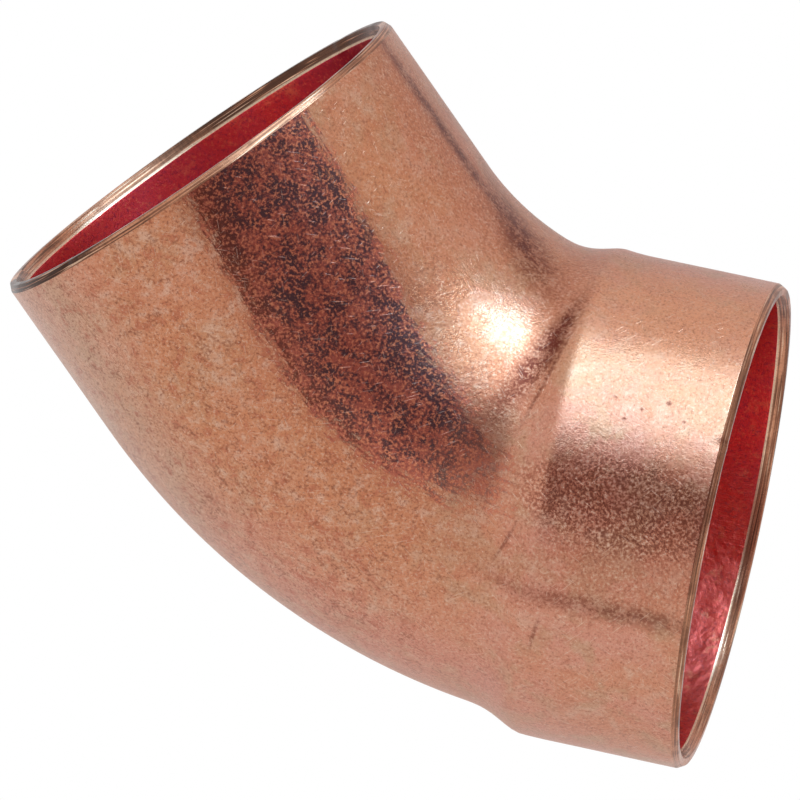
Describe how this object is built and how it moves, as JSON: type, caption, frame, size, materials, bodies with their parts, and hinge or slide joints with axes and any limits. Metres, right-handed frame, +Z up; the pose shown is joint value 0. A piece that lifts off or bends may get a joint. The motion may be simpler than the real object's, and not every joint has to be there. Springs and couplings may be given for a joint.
{
  "type": "pipe elbow",
  "caption": "Formed copper 45 degree street elbow: a plain spigot, a bend, and an expanded solder cup with a shoulder.",
  "frame": {"origin": "bottom centre of the whole shape, as the elbow lies on its side", "axes": "+X out of the cup along its axis, +Z up and square to the plane of the bend, spigot pointing towards -X and +Y"},
  "size_m": [0.0676, 0.06, 0.0441],
  "materials": {
    "copper": "bare formed copper, satin, with brown oxide stains outside and a deep red oxide bore"
  },
  "bodies": {
    "root": {"elbow_body": "copper"}
  },
  "joints": []
}
